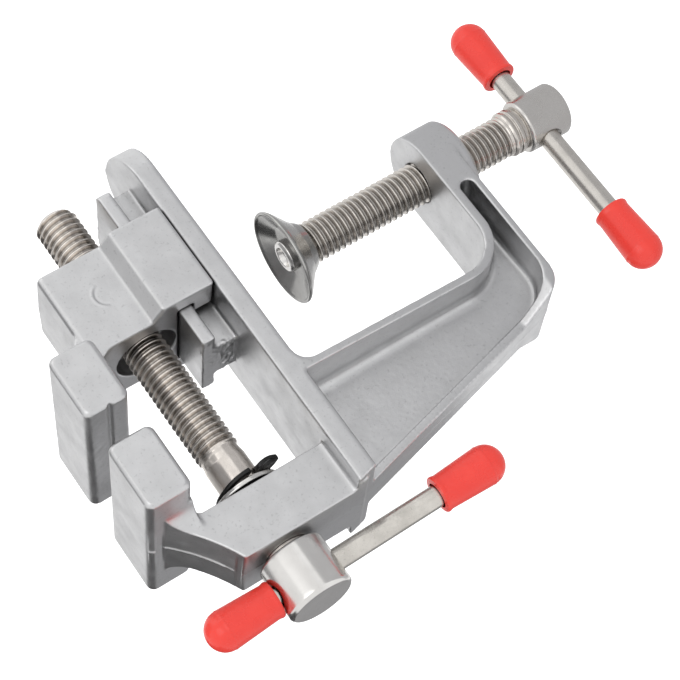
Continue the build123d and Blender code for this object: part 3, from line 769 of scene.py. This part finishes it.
def ring_strip(name, sections, body, slot, node_name, finish, closed=True):
    """A flat ring about the lead screw from (turn, inner, outer, back, front) sections."""
    rings = []
    edge = 0.12
    for turn, inner, outer, back, front in sections:
        c, s = math.cos(math.radians(turn)), math.sin(math.radians(turn))
        shape = [(inner + edge, back), (outer - edge, back), (outer, back + edge), (outer, front - edge)]
        shape += [(outer - edge, front), (inner + edge, front), (inner, front - edge), (inner, back + edge)]
        rings.append([(x, r * c, LEAD_Z + r * s) for r, x in shape])
    mesh_object(name, *sweep(rings, closed), body, slot, (node_name,), finish, 50)


WAVE_LIFT = 0.16
WAVES = 3
wave_sections = []
thrust_sections = []
for k in range(120):
    turn = 3.0 * k
    lift = WAVE_LIFT * math.cos(math.radians(WAVES * turn))
    wave_sections.append((turn, 4.05, WASHER_R - 0.1, WAVE_X[0] + 0.18 + lift, WAVE_X[1] - 0.18 + lift))
    thrust_sections.append((turn, 4.0, WASHER_R, THRUST_X[0] + 0.02, THRUST_X[1] - 0.05))
ring_strip("wave_washer_bent", wave_sections, "base", "black_steel", "wave_washer", black_steel)
ring_strip("thrust_washer_flat", thrust_sections, "base", "bright_steel", "thrust_washer", bright_steel)

# the clip: (turn, inner, outer, lift); a lobe stands out beside its mouth
CLIP_SHAPE = [
    (221, 4.3, 5.3, 1.2),
    (225, 3.8, 6.0, 1.35),
    (232, 3.5, 6.7, 1.5),
    (240, 3.5, 7.35, 1.55),
    (249, 3.5, 7.95, 1.5),
    (254, 3.5, 7.9, 1.4),
    (259, 3.5, 7.0, 1.3),
    (264, 3.5, 5.9, 1.2),
    (300, 3.4, 5.5, 0.3),
    (340, 3.35, 5.5, 0),
    (440, 3.35, 5.5, 0),
    (490, 3.4, 5.6, 0.2),
    (528, 3.6, 5.85, 0.6),
    (554, 3.75, 5.8, 0.85),
    (559, 4.1, 5.2, 0.9),
]
clip_points = []
for here, ahead in zip(CLIP_SHAPE, CLIP_SHAPE[1:]):
    parts = max(2, int((ahead[0] - here[0]) / 3))
    for k in range(parts):
        clip_points.append([a + (b - a) * (k / parts) for a, b in zip(here, ahead)])
clip_points.append(CLIP_SHAPE[-1])
clip_sections = [
    (turn, inner, outer, CLIP_X[0] + 0.08 + lift, CLIP_X[1] - 0.12 + lift)
    for turn, inner, outer, lift in clip_points
]
ring_strip("e_clip_sprung", clip_sections, "lead_spindle", "black_steel", "e_clip", black_steel, False)


# ---- world and floor ----
def white_for(tree):
    """1 for camera, glossy and transmission rays, which see the white background, and else 0."""
    ray = node(tree, "LightPath")
    sockets = {0: ray.outputs["Is Camera Ray"], 1: ray.outputs["Is Glossy Ray"]}
    seen = node(tree, "Math", sockets, operation="MAXIMUM")
    also = {0: seen.outputs["Value"], 1: ray.outputs["Is Transmission Ray"]}
    return node(tree, "Math", also, operation="MAXIMUM").outputs["Value"]


world = bpy.data.worlds.new("studio")
bpy.context.scene.world = world
world.use_nodes = True
sky_tree = world.node_tree
soft_light = sky_tree.nodes["Background"]
soft_light.inputs["Color"].default_value = (0.99, 0.995, 1.0, 1)
soft_light.inputs["Strength"].default_value = 0.92
white = node(sky_tree, "Background", {"Color": (1, 1, 1, 1), "Strength": 1.0})
pick = node(sky_tree, "MixShader", {0: white_for(sky_tree), 1: soft_light.outputs[0], 2: white.outputs[0]})
sky_tree.links.new(pick.outputs[0], sky_tree.nodes["World Output"].inputs["Surface"])


def sheet(name, corners, mat):
    """A flat piece from four corners."""
    data = bpy.data.meshes.new(name)
    data.from_pydata(corners, [], [(0, 1, 2, 3)])
    data.materials.append(mat)
    obj = bpy.data.objects.new(name, data)
    bpy.context.scene.collection.objects.link(obj)
    return obj


# the floor clears the clamp screw's head where the screw is turned right down
FLOOR_GAP = 0.7
FLOOR_HALF = 3.0
# how bright the floor is in reflections, and how much more to the camera
FLOOR_SHEEN = 0.22
FLOOR_WHITE = 0.5
SQUARE = ((-1, -1), (1, -1), (1, 1), (-1, 1))
floor_z = cad_box[0].z - (CLAMP_DROP + FLOOR_GAP) * MM
floor_mat = bpy.data.materials.new("floor_white")
floor_mat.use_nodes = True
floor_tree = floor_mat.node_tree
paper = floor_tree.nodes["Principled BSDF"]
paper.inputs["Base Color"].default_value = (0.85, 0.85, 0.85, 1)
paper.inputs["Roughness"].default_value = 0.9
paper.inputs["Emission Color"].default_value = (1, 1, 1, 1)
floor_ray = node(floor_tree, "LightPath")
to_camera = {0: floor_ray.outputs["Is Camera Ray"], 1: FLOOR_WHITE}
seen = node(floor_tree, "Math", to_camera, operation="MULTIPLY")
to_gloss = {0: white_for(floor_tree), 1: FLOOR_SHEEN, 2: seen.outputs["Value"]}
glow = node(floor_tree, "Math", to_gloss, operation="MULTIPLY_ADD")
floor_tree.links.new(glow.outputs["Value"], paper.inputs["Emission Strength"])
floor = sheet("floor", [(FLOOR_HALF * u, FLOOR_HALF * v, floor_z) for u, v in SQUARE], floor_mat)

# ---- lamps, and grey cards that show only in reflections ----
MIDDLE = (-0.008, 0, -0.016)


def aimed(obj, place, aim, front):
    """Puts a lamp or a card in its place, with its front towards a point."""
    obj.location = place
    obj.rotation_mode = "QUATERNION"
    obj.rotation_quaternion = (Vector(aim) - Vector(place)).to_track_quat(front, "Y")


def lamp(name, place, size, power):
    data = bpy.data.lights.new(name, "AREA")
    data.shape = "RECTANGLE"
    data.size, data.size_y = size
    data.energy = power
    obj = bpy.data.objects.new(name, data)
    bpy.context.scene.collection.objects.link(obj)
    aimed(obj, place, MIDDLE, "-Z")


def card(name, place, size, level, aim=MIDDLE):
    mat = bpy.data.materials.new(name)
    mat.use_nodes = True
    tree = mat.node_tree
    grey = node(tree, "Emission", {"Color": (level, level, level * 1.02, 1)})
    tree.links.new(grey.outputs[0], tree.nodes["Material Output"].inputs["Surface"])
    obj = sheet(name, [(size[0] / 2 * u, size[1] / 2 * v, 0) for u, v in SQUARE], mat)
    aimed(obj, place, aim, "Z")
    obj.visible_camera = False
    obj.visible_diffuse = False
    obj.visible_shadow = False
    obj.visible_transmission = False


lamp("key", (-0.10, -0.50, 0.40), (0.4, 0.4), 0.45)
lamp("side", (0.50, -0.35, 0.25), (0.4, 0.4), 0.25)
card("card_left_low", (-0.088, 0.145, -0.05), (0.20, 0.16), 0.36)
card("card_left_high", (-0.075, 0.145, 0.085), (0.18, 0.13), 0.08)
card("card_over", (0.07, 0.05, 0.17), (0.16, 0.14), 0.3)
card("card_under", (0.05, -0.105, floor_z + 0.3 * MM), (0.34, 0.37), 0.58, (0.05, -0.105, 0.1))

# ---- camera, at the photo's place and angle ----
AZIMUTH = math.radians(-22.12)
ELEVATION = math.radians(18.37)
ROLL = math.radians(-119.74)
CAMERA_AT = (-0.15371, -0.33080, 0.10661)
LENS = 113.54
camera = bpy.data.objects.new("camera", bpy.data.cameras.new("camera"))
bpy.context.scene.collection.objects.link(camera)
camera.data.sensor_width = 36
camera.data.lens = LENS
camera.data.clip_start, camera.data.clip_end = 0.01, 20
flat = math.cos(ELEVATION)
back = Vector((math.sin(AZIMUTH) * flat, -math.cos(AZIMUTH) * flat, math.sin(ELEVATION)))
right = Vector((math.cos(AZIMUTH), math.sin(AZIMUTH), 0))
turned = Matrix((right, back.cross(right), back)).transposed() @ Matrix.Rotation(ROLL, 3, "Z")
camera.matrix_world = Matrix.Translation(CAMERA_AT) @ turned.to_4x4()
bpy.context.scene.camera = camera
bpy.context.scene.view_settings.view_transform = "Standard"
